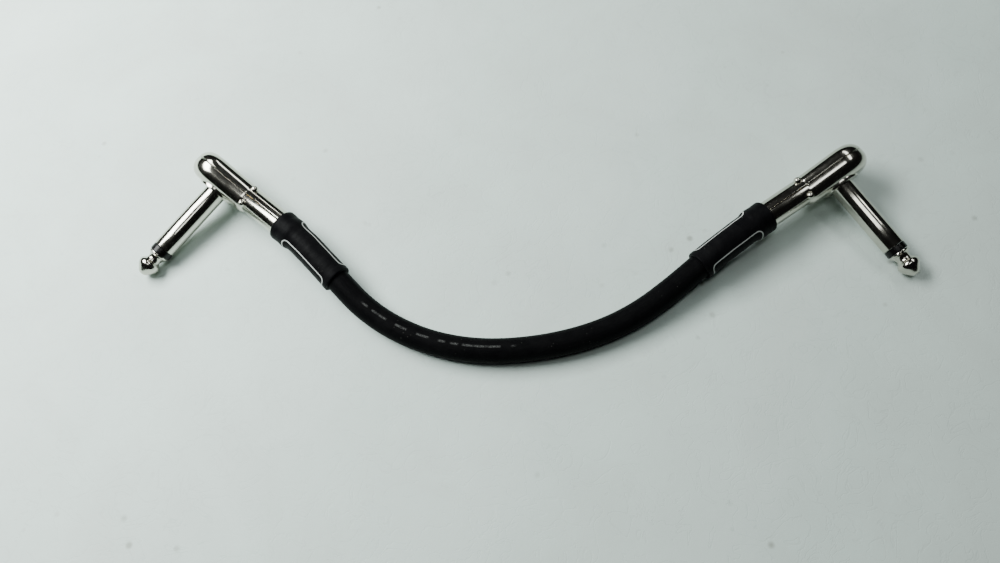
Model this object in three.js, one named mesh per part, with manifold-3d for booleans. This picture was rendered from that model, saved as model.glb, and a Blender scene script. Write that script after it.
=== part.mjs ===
// Instrument patch cable: a short shielded cable with a flat right-angle 6.35 mm plug on each end.
// Millimetres, +Z up. The origin is on the table, at the middle of the box around the two plugs.
//
// Each plug is drawn in its own axes: +X runs from the shank's axis along the neck to the cable,
// +Y runs out along the shank, and X and Z span the flat faces of the housing.
import * as THREE from 'three';
import { mergeVertices } from 'three/addons/utils/BufferGeometryUtils.js';
import Module from 'manifold-3d';

const wasm = await Module();
wasm.setup();

// Driving dimensions
const GAP = 0.3;
const SHANK_RADIUS = 3.175;
const SHANK_LENGTH = 31.6;
const TIP_LENGTH = 7.6;
const INSULATOR_LENGTH = 1.9;
const ROD_RADIUS = 1.0;
const ROD_END = -0.3;
const BARREL_BORE = 2.3;
const FLANGE_RADIUS = 4.4;
const FLANGE_THICKNESS = 0.8;

// Outline of the tip: radius, and height above the insulating ring
const TIP_OUTLINE = [
  [2.95, 0], [2.95, 0.4], [2.2, 1.2], [1.95, 2.0], [2.15, 2.6], [2.8, 3.2],
  [3.1, 3.8], [SHANK_RADIUS, 4.2], [3.0, 4.8], [2.3, 5.9], [1.5, 6.9],
];
const TIP_END_RADIUS = 0.9;

const HEAD_HALF_HEIGHT = 8.0;
const FRONT_FACE = 4.8;
const COVER_FACE = -4.1;
const HEAD_EDGE_RADIUS = 3.9;
const HEAD_END_CENTRE = -3.0;
const HEAD_NOSE_CENTRE = 8.4;
const HEAD_NOSE_RADIUS = 4.4;
const WALL = 0.8;
const SEAM_AT = -0.35;
const SEAT_RADIUS = 5.4;
const SEAT_HEIGHT = 0.4;

const NECK_RADIUS = 3.9;
const NECK_BORE = 3.4;
const NECK_END = 27.6;
const PIP_RADIUS = 1.1;
const PIP_PLACES = [[11.2, -2.9, -2.9], [11.2, -2.9, 2.9], [11.2, 2.6, -3.1], [11.2, 2.6, 3.1]];
const CRIMP_STATIONS = [18.6, 20.2, 21.8];
const CRIMP_SIZE = [0.6, 0.9, 3.2];
const CRIMP_OUT = 2.9;
const CRIMP_DOWN = 2.75;
const CRIMP_TWIST = 24;
const CRIMP_TILT = 44;

// Small pieces inside the housing
const WASHER_RADIUS = 3.6;
const WASHER_THICKNESS = 0.7;
const LUG_RADIUS = 2.4;
const LUG_THICKNESS = 0.5;
const LUG_TAB_END = 5.9;
const LUG_TAB_HALF_WIDTH = 1.1;
const SHEET_Y = [-3.0, -2.6];
const SHEET_HALF_HEIGHT = 4.0;
const SHEET_END_CENTRE = -1.6;
const SHEET_END = 5.5;
const SHEET_END_HALF_HEIGHT = 2.2;
const CLAMP_RING_X = [10.2, 12.8];
const PIGTAIL_RADIUS = 0.4;
const PIGTAIL_ROUTE = [[8.9, 0.6, 1.9], [7.4, 0.9, 2.6], [5.6, 1.1, 3.4], [3.4, 1.3, 4.1]];
const TIP_SOLDER = { x: 4.6, radius: 1.0, height: 1.2 };
const GROUND_SOLDER = { x: 1.7, top: 1.6, z: 4.2, radius: 0.8, height: 1.2 };

const JACKET_RADIUS = 3.5;
const JACKET_BORE = 2.5;
const CRIMPED_JACKET_RADIUS = 3.1;
const SHIELD_RADIUS = 2.2;
const SHIELD_BORE = 1.75;
const DIELECTRIC_RADIUS = 1.45;
const DIELECTRIC_BORE = 0.75;
const CORE_RADIUS = 0.45;

const SLEEVE_START = 24.2;
const SLEEVE_COLLAR_RADIUS = 4.75;
const SLEEVE_RADIUS = 4.25;
const SLEEVE_ON_CABLE = 20.6;

// Where the cable's layers are cut back inside each plug
const JACKET_CUT = 16.5;
const SHIELD_CUT = 9.6;
const DIELECTRIC_CUT = 8.2;
const CORE_CUT = 6.5;

// How the plugs lie: on the housing's edge, each with the tip of its shank on the table
const AXIS_HEIGHT = 8.05;
const DROOP = 8.2;
const LEFT_PLUG = { x: -87.0, y: 13.5, heading: -40.5 };
const RIGHT_PLUG = { x: 89.9, y: 10.2, heading: -145.8 };

// Middle of the cable, from the mouth of the left neck to the mouth of the right one
const CABLE_ROUTE = [
  [-65.8, -4.6, 8.05], [-60.6, -9.5, 7.8], [-55.6, -14.8, 7.1], [-50.6, -20.1, 6.1],
  [-44.3, -26.5, 4.8], [-36.8, -32.0, 3.9], [-28.2, -36.3, 3.53], [-19.2, -39.1, 3.53],
  [-9.8, -40.4, 3.53], [-0.2, -40.3, 3.53], [9.2, -39.1, 3.53], [18.2, -36.9, 3.53],
  [26.6, -33.7, 3.6], [34.4, -29.5, 4.1], [42.1, -24.1, 5.0], [49.3, -18.4, 6.0],
  [55.4, -13.7, 7.0], [61.2, -9.5, 7.8], [66.8, -5.5, 8.05],
];
const CABLE_STEPS = 24;

// Where the turned pieces begin and end along the shank
const SEAT_FACE = FRONT_FACE + SEAT_HEIGHT;
const BARREL_END = SEAT_FACE + SHANK_LENGTH - TIP_LENGTH - INSULATOR_LENGTH;
const INSULATOR_END = BARREL_END + INSULATOR_LENGTH;
const FLANGE_TOP = FRONT_FACE - WALL - GAP;
const FLANGE_Y = [FLANGE_TOP - FLANGE_THICKNESS, FLANGE_TOP];
const WASHER_Y = [FLANGE_Y[0] - GAP - WASHER_THICKNESS, FLANGE_Y[0] - GAP];
const LUG_Y = [WASHER_Y[0] - GAP - LUG_THICKNESS, WASHER_Y[0] - GAP];

// Finishes
const nickel = () => new THREE.MeshStandardMaterial({ color: 0xc9c5bb, roughness: 0.14, metalness: 1 });
const blackPlastic = () => new THREE.MeshStandardMaterial({ color: 0x141414, roughness: 0.4, metalness: 0 });
const whitePlastic = () => new THREE.MeshStandardMaterial({ color: 0xe6e2d6, roughness: 0.5, metalness: 0 });
const brass = () => new THREE.MeshStandardMaterial({ color: 0xc9a558, roughness: 0.3, metalness: 1 });
const copper = () => new THREE.MeshStandardMaterial({ color: 0xb87449, roughness: 0.35, metalness: 1 });
const solder = () => new THREE.MeshStandardMaterial({ color: 0xaeb0b0, roughness: 0.3, metalness: 1 });
const rubber = () => new THREE.MeshStandardMaterial({ color: 0x101012, roughness: 0.55, metalness: 0 });

// ---- Solids ----

function solid(geometry) {
  const bare = geometry.clone();
  bare.deleteAttribute('normal');
  bare.deleteAttribute('uv');
  const merged = mergeVertices(bare, 1e-4);
  return new wasm.Manifold(new wasm.Mesh({
    numProp: 3,
    vertProperties: new Float32Array(merged.attributes.position.array),
    triVerts: new Uint32Array(merged.index.array),
  }));
}

function geometryOf(manifold) {
  const mesh = manifold.getMesh();
  const geometry = new THREE.BufferGeometry();
  geometry.setAttribute('position', new THREE.BufferAttribute(new Float32Array(mesh.vertProperties), 3));
  geometry.setIndex(new THREE.BufferAttribute(new Uint32Array(mesh.triVerts), 1));
  geometry.computeVertexNormals();
  return geometry;
}

function named(name, geometry, material) {
  const mesh = new THREE.Mesh(geometry, material);
  mesh.name = name;
  return mesh;
}

function box(x0, x1, y0, y1, z0, z1) {
  const geometry = new THREE.BoxGeometry(x1 - x0, y1 - y0, z1 - z0);
  geometry.translate((x0 + x1) / 2, (y0 + y1) / 2, (z0 + z1) / 2);
  return solid(geometry);
}

// A round bar along the neck, from x0 to x1
function neckBar(radius, x0, x1, sides = 24) {
  const geometry = new THREE.CylinderGeometry(radius, radius, x1 - x0, sides);
  geometry.rotateZ(Math.PI / 2);
  geometry.translate((x0 + x1) / 2, 0, 0);
  return solid(geometry);
}

// A round bar along the shank, from y0 to y1
function shankBar(radius, y0, y1, sides = 24) {
  const geometry = new THREE.CylinderGeometry(radius, radius, y1 - y0, sides);
  geometry.translate(0, (y0 + y1) / 2, 0);
  return solid(geometry);
}

// A turned piece on the shank's axis, from a closed outline of [radius, y] pairs
function turned(outline, sides = 20) {
  return new THREE.LatheGeometry(outline.map(([r, y]) => new THREE.Vector2(r, y)), sides);
}

function ringOutline(inner, outer, y0, y1) {
  return [[inner, y0], [outer, y0], [outer, y1], [inner, y1], [inner, y0]];
}

function arc(cx, cy, radius, from, to, steps) {
  return Array.from({ length: steps + 1 }, (_, i) => {
    const angle = THREE.MathUtils.degToRad(from + (to - from) * i / steps);
    return new THREE.Vector2(cx + radius * Math.cos(angle), cy + radius * Math.sin(angle));
  });
}

function circlePath(radius, sides) {
  return arc(0, 0, radius, 0, 360, sides).slice(0, sides);
}

// A tube or bar along a curve
function alongCurve(curve, steps, outer, bore, sides) {
  const section = new THREE.Shape(circlePath(outer, sides));
  if (bore > 0) section.holes.push(new THREE.Path(circlePath(bore, sides).reverse()));
  return new THREE.ExtrudeGeometry(section, { steps, extrudePath: curve, bevelEnabled: false });
}

// ---- Plug housing ----

// The head: a round-ended slab with a full bull-nose edge, grown from its flat face by the edge radius
function headSlab(edgeRadius) {
  const inset = HEAD_HALF_HEIGHT - HEAD_EDGE_RADIUS;
  const noseInset = HEAD_NOSE_RADIUS - HEAD_EDGE_RADIUS;
  const taper = Math.asin((inset - noseInset) / (HEAD_NOSE_CENTRE - HEAD_END_CENTRE)) * 180 / Math.PI;
  const outline = [
    ...arc(HEAD_END_CENTRE, 0, inset, 90 - taper, 270 + taper, 16),
    ...arc(HEAD_NOSE_CENTRE, 0, noseInset, -90 + taper, 90 - taper, 5),
  ];
  const flat = FRONT_FACE - COVER_FACE - 2 * HEAD_EDGE_RADIUS;
  const geometry = new THREE.ExtrudeGeometry(new THREE.Shape(outline), {
    depth: flat, bevelThickness: edgeRadius, bevelSize: edgeRadius, bevelSegments: 4,
  });
  geometry.rotateX(Math.PI / 2);
  geometry.translate(0, FRONT_FACE - HEAD_EDGE_RADIUS, 0);
  return solid(geometry);
}

// Small round pips pressed out of both shells where the head meets the neck
function pips() {
  return PIP_PLACES.map(([x, y, z]) => {
    const geometry = new THREE.SphereGeometry(PIP_RADIUS, 10, 8);
    geometry.translate(x, y, z);
    return solid(geometry);
  });
}

// Jaw marks where the neck is crimped on the jacket
function crimpMarks(tableSide) {
  return CRIMP_STATIONS.map((x) => {
    const geometry = new THREE.BoxGeometry(...CRIMP_SIZE);
    geometry.rotateY(THREE.MathUtils.degToRad(tableSide * CRIMP_TWIST));
    geometry.rotateX(THREE.MathUtils.degToRad(tableSide * CRIMP_TILT));
    geometry.translate(x, CRIMP_OUT, tableSide * CRIMP_DOWN);
    return solid(geometry);
  });
}

function housing(tableSide) {
  let body = headSlab(HEAD_EDGE_RADIUS).add(neckBar(NECK_RADIUS, 5, NECK_END));
  for (const pip of pips()) body = body.add(pip);
  body = body.add(shankBar(SEAT_RADIUS, 1, SEAT_FACE, 32));
  body = body.subtract(headSlab(HEAD_EDGE_RADIUS - WALL));
  body = body.subtract(neckBar(NECK_BORE, 5, NECK_END + 1));
  for (const mark of crimpMarks(tableSide)) body = body.subtract(mark);
  return body;
}

function shells(side, tableSide) {
  const body = housing(tableSide);
  const frontHalf = box(-30, 60, SEAM_AT + GAP / 2, 30, -30, 30);
  const coverHalf = box(-30, 60, -30, SEAM_AT - GAP / 2, -30, 30);
  const front = body.intersect(frontHalf).subtract(shankBar(SHANK_RADIUS + GAP, 0, 20));
  return [
    named(`${side}_front_shell`, geometryOf(front), nickel()),
    named(`${side}_cover_shell`, geometryOf(body.intersect(coverHalf)), nickel()),
  ];
}

// ---- Shank and tip ----

function shankBarrel() {
  return turned([
    [BARREL_BORE, FLANGE_Y[0]],
    [FLANGE_RADIUS, FLANGE_Y[0]],
    [FLANGE_RADIUS, FLANGE_Y[1]],
    [SHANK_RADIUS, FLANGE_Y[1]],
    [SHANK_RADIUS, BARREL_END - GAP],
    [BARREL_BORE, BARREL_END - GAP],
    [BARREL_BORE, FLANGE_Y[0]],
  ], 24);
}

function tipWithRod() {
  const base = INSULATOR_END + GAP;
  return turned([
    [0, ROD_END],
    [ROD_RADIUS, ROD_END],
    [ROD_RADIUS, base],
    ...TIP_OUTLINE.map(([radius, height]) => [radius, base + height]),
    [TIP_END_RADIUS, INSULATOR_END + TIP_LENGTH],
    [0, INSULATOR_END + TIP_LENGTH],
  ]);
}

// ---- Inside the housing ----

function tipLug() {
  const eye = shankBar(LUG_RADIUS, LUG_Y[0], LUG_Y[1], 18);
  const tab = box(ROD_RADIUS + GAP, LUG_TAB_END, LUG_Y[0], LUG_Y[1], -LUG_TAB_HALF_WIDTH, LUG_TAB_HALF_WIDTH);
  return geometryOf(eye.add(tab).subtract(shankBar(ROD_RADIUS + GAP, -5, 5, 18)));
}

function insulatingSheet() {
  const outline = [
    ...arc(SHEET_END_CENTRE, 0, SHEET_HALF_HEIGHT, 90, 270, 10),
    new THREE.Vector2(SHEET_END, -SHEET_END_HALF_HEIGHT),
    new THREE.Vector2(SHEET_END, SHEET_END_HALF_HEIGHT),
  ];
  const geometry = new THREE.ExtrudeGeometry(new THREE.Shape(outline), {
    depth: SHEET_Y[1] - SHEET_Y[0], bevelEnabled: false,
  });
  geometry.rotateX(Math.PI / 2);
  geometry.translate(0, SHEET_Y[1], 0);
  return geometry;
}

// A drop of solder that sits against a flat piece and bulges along -Y
function solderDrop({ x, radius, height }, top, z) {
  const geometry = turned([
    [0, -height], [radius * 0.6, -height * 0.85], [radius, -height * 0.35], [radius, 0], [0, 0],
  ], 12);
  geometry.translate(x, top, z);
  return geometry;
}

function clampRing() {
  const ring = neckBar(NECK_BORE - GAP, ...CLAMP_RING_X, 20);
  const bore = neckBar(SHIELD_RADIUS + GAP, CLAMP_RING_X[0] - 1, CLAMP_RING_X[1] + 1, 20);
  return geometryOf(ring.subtract(bore));
}

function shieldPigtail(groundSide) {
  const route = new THREE.CatmullRomCurve3(
    PIGTAIL_ROUTE.map(([x, y, z]) => new THREE.Vector3(x, y, groundSide * z)));
  return alongCurve(route, 8, PIGTAIL_RADIUS, 0, 8);
}

function groundJoint(groundSide) {
  return solderDrop(GROUND_SOLDER, GROUND_SOLDER.top, groundSide * GROUND_SOLDER.z);
}

// ---- Cable ----

function placeOf(plug, mirrored) {
  const group = new THREE.Group();
  group.position.set(plug.x, plug.y, AXIS_HEIGHT);
  const roll = mirrored ? 180 + DROOP : -DROOP;
  group.rotation.set(
    THREE.MathUtils.degToRad(roll), 0, THREE.MathUtils.degToRad(plug.heading), 'ZYX');
  group.updateMatrixWorld(true);
  return group;
}

// The whole run of one layer: straight inside each neck, and along the route between them
function cableCurve(leftPlace, rightPlace, cut) {
  const inLeft = leftPlace.localToWorld(new THREE.Vector3(cut, 0, 0));
  const inRight = rightPlace.localToWorld(new THREE.Vector3(cut, 0, 0));
  const between = CABLE_ROUTE.map(([x, y, z]) => new THREE.Vector3(x, y, z));
  return new THREE.CatmullRomCurve3([inLeft, ...between, inRight]);
}

// A stretch of a curve between two distances along it
function stretch(curve, from, to) {
  const steps = Math.ceil((to - from) / 3);
  const length = curve.getLength();
  const points = Array.from({ length: steps + 1 }, (_, i) => (
    curve.getPointAt((from + (to - from) * i / steps) / length)));
  return new THREE.CatmullRomCurve3(points);
}

function routeFrom(side) {
  const points = CABLE_ROUTE.map(([x, y, z]) => new THREE.Vector3(x, y, z));
  return new THREE.CatmullRomCurve3(side === 'left' ? points : points.reverse());
}

function moved(manifold, place) {
  return solid(geometryOf(manifold).applyMatrix4(place.matrixWorld));
}

function jacket(places) {
  let body = solid(alongCurve(routeFrom('left'), CABLE_STEPS, JACKET_RADIUS, 0, 12));
  for (const place of places) {
    body = body.add(moved(neckBar(CRIMPED_JACKET_RADIUS, JACKET_CUT, NECK_END + 1, 12), place));
  }
  const bore = cableCurve(...places, JACKET_CUT - 1);
  return geometryOf(body.subtract(solid(alongCurve(bore, CABLE_STEPS + 4, JACKET_BORE, 0, 12))));
}

// The heat-shrink sleeve: a thicker collar over the neck, then a close fit on the jacket
function heatShrink(side, place) {
  const route = routeFrom(side);
  const mouth = NECK_END + 1.2;
  const collar = moved(neckBar(SLEEVE_COLLAR_RADIUS, SLEEVE_START, mouth, 20), place);
  const hollow = moved(neckBar(NECK_RADIUS + GAP, SLEEVE_START - 1, mouth - 0.5, 20), place);
  const outer = alongCurve(stretch(route, 0, SLEEVE_ON_CABLE), 7, SLEEVE_RADIUS, 0, 16);
  const inner = alongCurve(stretch(route, 0, SLEEVE_ON_CABLE + 1), 8, JACKET_RADIUS + GAP, 0, 16);
  return geometryOf(collar.add(solid(outer)).subtract(hollow).subtract(solid(inner)));
}

function cablePieces(places) {
  const layer = (cut, outer, bore, sides) => (
    alongCurve(cableCurve(...places, cut), CABLE_STEPS + 4, outer, bore, sides));
  return [
    named('cable_jacket', jacket(places), rubber()),
    named('cable_shield', layer(SHIELD_CUT, SHIELD_RADIUS, SHIELD_BORE, 8), copper()),
    named('cable_insulation', layer(DIELECTRIC_CUT, DIELECTRIC_RADIUS, DIELECTRIC_BORE, 8), whitePlastic()),
    named('cable_core', layer(CORE_CUT, CORE_RADIUS, 0, 8), copper()),
  ];
}

// ---- Assembly ----

function addPlug(side, place, tableSide) {
  const liner = ringOutline(ROD_RADIUS + GAP, BARREL_BORE - GAP, FLANGE_Y[0], BARREL_END - GAP);
  const ring = ringOutline(ROD_RADIUS + GAP, SHANK_RADIUS - 0.08, BARREL_END, INSULATOR_END);
  const washer = ringOutline(ROD_RADIUS + GAP, WASHER_RADIUS, ...WASHER_Y);
  place.add(
    ...shells(side, tableSide),
    named(`${side}_shank_barrel`, shankBarrel(), nickel()),
    named(`${side}_tip_insulator`, turned(ring), blackPlastic()),
    named(`${side}_tip`, tipWithRod(), nickel()),
    named(`${side}_barrel_liner`, turned(liner, 12), whitePlastic()),
    named(`${side}_rear_washer`, turned(washer), blackPlastic()),
    named(`${side}_tip_lug`, tipLug(), brass()),
    named(`${side}_tip_solder`, solderDrop(TIP_SOLDER, LUG_Y[0] - GAP, 0), solder()),
    named(`${side}_insulating_sheet`, insulatingSheet(), whitePlastic()),
    named(`${side}_clamp_ring`, clampRing(), brass()),
    named(`${side}_shield_pigtail`, shieldPigtail(tableSide), copper()),
    named(`${side}_ground_solder`, groundJoint(tableSide), solder()),
  );
}

const leftPlace = placeOf(LEFT_PLUG, true);
const rightPlace = placeOf(RIGHT_PLUG, false);
const places = [leftPlace, rightPlace];

const cable = new THREE.Group();
cable.add(...cablePieces(places));
cable.add(named('left_heat_shrink', heatShrink('left', leftPlace), rubber()));
cable.add(named('right_heat_shrink', heatShrink('right', rightPlace), rubber()));

addPlug('left', leftPlace, 1);
addPlug('right', rightPlace, -1);

const instrumentCable = new THREE.Group();
instrumentCable.add(leftPlace, rightPlace, cable);

export default instrumentCable;
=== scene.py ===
"""A short black instrument patch cable with a flat right-angle plug on each end.

Each plug is drawn in its own axes: +X runs from the shank along the neck to the cable,
+Y runs out along the shank, and X and Z span the flat faces of the housing.
"""

import math

import bpy
from mathutils import Matrix, Vector, geometry, noise


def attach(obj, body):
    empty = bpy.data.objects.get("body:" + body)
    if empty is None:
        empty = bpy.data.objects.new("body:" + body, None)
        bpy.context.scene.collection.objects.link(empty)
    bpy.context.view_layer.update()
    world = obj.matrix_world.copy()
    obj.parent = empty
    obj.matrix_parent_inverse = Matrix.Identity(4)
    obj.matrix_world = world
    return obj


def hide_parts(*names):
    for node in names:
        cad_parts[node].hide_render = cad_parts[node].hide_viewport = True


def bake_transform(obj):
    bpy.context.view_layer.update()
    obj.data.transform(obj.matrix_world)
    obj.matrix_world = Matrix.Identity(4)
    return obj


bl_info = {
    "name": "Patch Cable",
    "version": (1, 0, 0),
    "blender": (4, 5, 0),
    "location": "3D View > Sidebar > Patch Cable",
    "description": "Lays out a short instrument cable with a flat right-angle plug on each end",
    "category": "Add Mesh",
}

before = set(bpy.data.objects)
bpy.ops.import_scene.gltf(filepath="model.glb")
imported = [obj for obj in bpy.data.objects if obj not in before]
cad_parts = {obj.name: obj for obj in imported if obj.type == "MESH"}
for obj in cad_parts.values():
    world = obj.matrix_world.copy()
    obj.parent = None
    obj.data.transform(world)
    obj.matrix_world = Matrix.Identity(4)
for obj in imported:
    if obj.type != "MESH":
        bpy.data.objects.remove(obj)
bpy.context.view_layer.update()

MM = 0.001

# How the plugs lie: on the housing's edge, each with its shank drooping to the table
AXIS_HEIGHT = 8.05
DROOP = math.radians(8.2)
PLUG_PLACES = {
    "left": {"x": -87.0, "y": 13.5, "heading": math.radians(-40.5), "roll": math.pi + DROOP},
    "right": {"x": 89.9, "y": 10.2, "heading": math.radians(-145.8), "roll": -DROOP},
}

# Middle of the cable, from the mouth of the left neck to the mouth of the right one
CABLE_ROUTE = [
    (-65.8, -4.6, 8.05), (-60.6, -9.5, 7.8), (-55.6, -14.8, 7.1), (-50.6, -20.1, 6.1),
    (-44.3, -26.5, 4.8), (-36.8, -32.0, 3.9), (-28.2, -36.3, 3.53), (-19.2, -39.1, 3.53),
    (-9.8, -40.4, 3.53), (-0.2, -40.3, 3.53), (9.2, -39.1, 3.53), (18.2, -36.9, 3.53),
    (26.6, -33.7, 3.6), (34.4, -29.5, 4.1), (42.1, -24.1, 5.0), (49.3, -18.4, 6.0),
    (55.4, -13.7, 7.0), (61.2, -9.5, 7.8), (66.8, -5.5, 8.05),
]
NECK_MOUTH = 27.9
JACKET_CUT = 16.5
INNER_LAYERS = (
    # piece, slot, where it is cut back in the plug, outer radius, inner radius
    ("cable_shield", "copper_wire", 9.6, 2.2, 1.75),
    ("cable_insulation", "white_plastic", 8.2, 1.45, 0.75),
    ("cable_core", "copper_wire", 6.5, 0.45, None),
)
SLEEVE_START = -3.7
SLEEVE_END = 20.6
SLEEVE_FIT = 0.08
SLEEVE_LABEL_MIDDLE = 10.2

# The housing's head: a round-ended slab with a bull-nose edge, pressed as two shells
FRONT_FACE = 4.8
COVER_FACE = -4.1
SEAM_AT = -0.35
HEAD_EDGE_RADIUS = 3.9
HEAD_END_CENTRE = -3.0
HEAD_INSET_RADIUS = 4.1
HEAD_NOSE_CENTRE = 8.4
HEAD_NOSE_INSET = 0.5
SEAT_RADIUS = 5.4
SEAT_FACE = 5.2
NECK_END = 27.6
NECK_BORE = 3.4
PIP_RADIUS = 1.1
PIP_PLACES = [(11.2, -2.9, -2.9), (11.2, -2.9, 2.9), (11.2, 2.6, -3.1), (11.2, 2.6, 3.1)]
CRIMP_STATIONS = [18.6, 20.2, 21.8]
CRIMP_OUTLINE = [(0.3, -2.6), (0.72, -2.1), (0.72, 2.1), (0.3, 2.6)]
CRIMP_OUT, CRIMP_DOWN = 2.98, -2.86
CRIMP_AROUND = math.radians(-46)
CRIMP_LEAN = math.radians(-24)

# The camera and the lamps, in metres
CAMERA_SPOT = (0.00683, -0.12051, 0.22725)
CAMERA_AIM = (-0.0056, -0.0181, 0.0)
CAMERA_UP = (0.0224, 0.9119, 0.4098)
LAMP_COLOUR = (0.96, 1.0, 0.98)
LAMPS = (
    # name, place, aim, size, share of the key lamp's power, turn in degrees
    ("main_window", (-0.38, 0.15, 0.40), (-0.50, 0.16, 0.0), (0.40, 0.40), 1.0, 0.0),
    ("middle_strip", (0.03, -0.11, 0.60), (0.03, -0.11, 0.0), (0.34, 0.09), 0.036, 34.0),
    ("side_strip", (0.25, 0.54, 0.60), (0.25, 0.54, 0.0), (0.87, 0.10), 0.2, 110.0),
)
TABLE_HALF = 3.0

# Outline of the shank's parts along +Y
BARREL_FOOT = 2.9
BARREL_FLANGE = 3.7
BARREL_BORE = 2.3
FLANGE_RADIUS = 4.4
BARREL_END = 27.22
RING_START = 27.3
RING_END = 29.2
RING_RADIUS = 3.1
RING_BORE = 1.3
ROD_RADIUS = 1.0
ROD_END = -0.3
TIP_BASE = 29.28
TIP_OUTLINE = [
    (2.72, 0.0), (2.9, 0.06), (2.96, 0.2), (2.96, 0.36), (2.88, 0.52), (2.68, 0.68), (2.42, 0.98),
    (2.18, 1.32), (2.02, 1.7), (1.96, 2.05), (2.0, 2.35), (2.16, 2.65), (2.46, 2.95), (2.78, 3.25),
    (3.02, 3.55), (3.14, 3.9), (3.17, 4.25), (3.1, 4.65), (2.93, 5.05), (2.6, 5.55),
    (2.22, 6.05), (1.84, 6.52), (1.48, 6.95), (1.14, 7.26), (0.8, 7.45), (0.45, 7.5),
]


# ---- Sizes and colours that a user may change ----


class CableSizes(bpy.types.PropertyGroup):
    """Sizes and colours of the cable and of the sleeves at its ends."""

    jacket_radius: bpy.props.FloatProperty(
        name="Jacket radius", description="Outer radius of the cable", default=3.5 * MM,
        subtype="DISTANCE", unit="LENGTH")
    jacket_bore: bpy.props.FloatProperty(
        name="Jacket bore", description="Radius of the space inside the jacket", default=2.5 * MM,
        subtype="DISTANCE", unit="LENGTH")
    crimped_radius: bpy.props.FloatProperty(
        name="Crimped radius", description="Radius of the jacket inside a plug's neck",
        default=3.1 * MM, subtype="DISTANCE", unit="LENGTH")
    sleeve_radius: bpy.props.FloatProperty(
        name="Sleeve radius", description="Radius of the shrunk sleeve on the cable",
        default=4.25 * MM, subtype="DISTANCE", unit="LENGTH")
    collar_radius: bpy.props.FloatProperty(
        name="Collar radius", description="Radius of the shrunk sleeve over a plug's neck",
        default=4.72 * MM, subtype="DISTANCE", unit="LENGTH")
    jacket_colour: bpy.props.FloatVectorProperty(
        name="Jacket colour", description="Colour of the flexible jacket", size=4,
        default=(0.003, 0.003, 0.0034, 1.0), subtype="COLOR")
    sleeve_colour: bpy.props.FloatVectorProperty(
        name="Sleeve colour", description="Colour of the shrunk sleeves", size=4,
        default=(0.003, 0.003, 0.0036, 1.0), subtype="COLOR")
    mark_colour: bpy.props.FloatVectorProperty(
        name="Mark colour", description="Colour of the worn marks and of the sleeve's outline", size=4,
        default=(0.6, 0.62, 0.6, 1.0), subtype="COLOR")


class PlugSizes(bpy.types.PropertyGroup):
    """Sizes and colours of the two plugs."""

    shank_radius: bpy.props.FloatProperty(
        name="Shank radius", description="Outer radius of the shank", default=3.175 * MM,
        subtype="DISTANCE", unit="LENGTH")
    neck_radius: bpy.props.FloatProperty(
        name="Neck radius", description="Outer radius of the housing's neck", default=3.9 * MM,
        subtype="DISTANCE", unit="LENGTH")
    wall: bpy.props.FloatProperty(
        name="Wall", description="Thickness of the pressed shells", default=0.8 * MM,
        subtype="DISTANCE", unit="LENGTH")
    seam_gap: bpy.props.FloatProperty(
        name="Seam gap", description="Width of the slit between the two shells", default=0.1 * MM,
        subtype="DISTANCE", unit="LENGTH")
    seam_round: bpy.props.FloatProperty(
        name="Seam rounding", description="Radius of the shells' rolled edges at the seam",
        default=0.26 * MM, subtype="DISTANCE", unit="LENGTH")
    nickel_colour: bpy.props.FloatVectorProperty(
        name="Nickel colour", description="Colour of the polished plating", size=4,
        default=(0.57, 0.55, 0.49, 1.0), subtype="COLOR")
    plastic_colour: bpy.props.FloatVectorProperty(
        name="Plastic colour", description="Colour of the black moulded parts", size=4,
        default=(0.0015, 0.0015, 0.0015, 1.0), subtype="COLOR")


class StageSettings(bpy.types.PropertyGroup):
    """The table, the lamps and the camera."""

    table_colour: bpy.props.FloatVectorProperty(
        name="Table colour", description="Colour of the table top", size=4,
        default=(0.67, 0.80, 0.75, 1.0), subtype="COLOR")
    room_colour: bpy.props.FloatVectorProperty(
        name="Room colour", description="Colour of the dim room around the table", size=3,
        default=(0.006, 0.006, 0.006), subtype="COLOR")
    key_power: bpy.props.FloatProperty(
        name="Key lamp", description="Power of the main lamp", default=11.5, unit="POWER")
    focal_length: bpy.props.FloatProperty(
        name="Focal length", description="Focal length of the camera's lens", default=31.18,
        subtype="DISTANCE_CAMERA")


# ---- Closed meshes ----


def mesh_object(name, vertices, faces):
    """A new mesh object from vertices in millimetres."""
    mesh = bpy.data.meshes.new(name)
    mesh.from_pydata([(x * MM, y * MM, z * MM) for x, y, z in vertices], [], faces)
    mesh.validate()
    mesh.update()
    made = bpy.data.objects.new(name, mesh)
    bpy.context.collection.objects.link(made)
    return made


def lofted(name, rings, ringed=False):
    """A closed skin through rings of equal size. It is capped, or joined end to start if ringed."""
    count = len(rings[0])
    vertices = [point for ring in rings for point in ring]
    faces = []
    spans = len(rings) if ringed else len(rings) - 1
    for i in range(spans):
        near, far = i * count, (i + 1) % len(rings) * count
        for j in range(count):
            k = (j + 1) % count
            faces.append((near + j, far + j, far + k, near + k))
    if not ringed:
        faces.append(tuple(range(count)))
        last = (len(rings) - 1) * count
        faces.append(tuple(reversed(range(last, last + count))))
    made = mesh_object(name, vertices, faces)
    outward(made.data)
    return made


def outward(mesh):
    """Turns a closed mesh's faces out, from the sign of its volume."""
    mesh.calc_loop_triangles()
    points = mesh.vertices
    volume = 0.0
    for triangle in mesh.loop_triangles:
        a, b, c = (points[i].co for i in triangle.vertices)
        volume += a.dot(b.cross(c))
    if volume < 0:
        mesh.flip_normals()


def smooth(made, crease=math.radians(32)):
    """Shades a piece smooth, except over edges sharper than the crease angle."""
    made.data.shade_smooth()
    made.data.set_sharp_from_angle(angle=crease)
    return made


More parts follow.
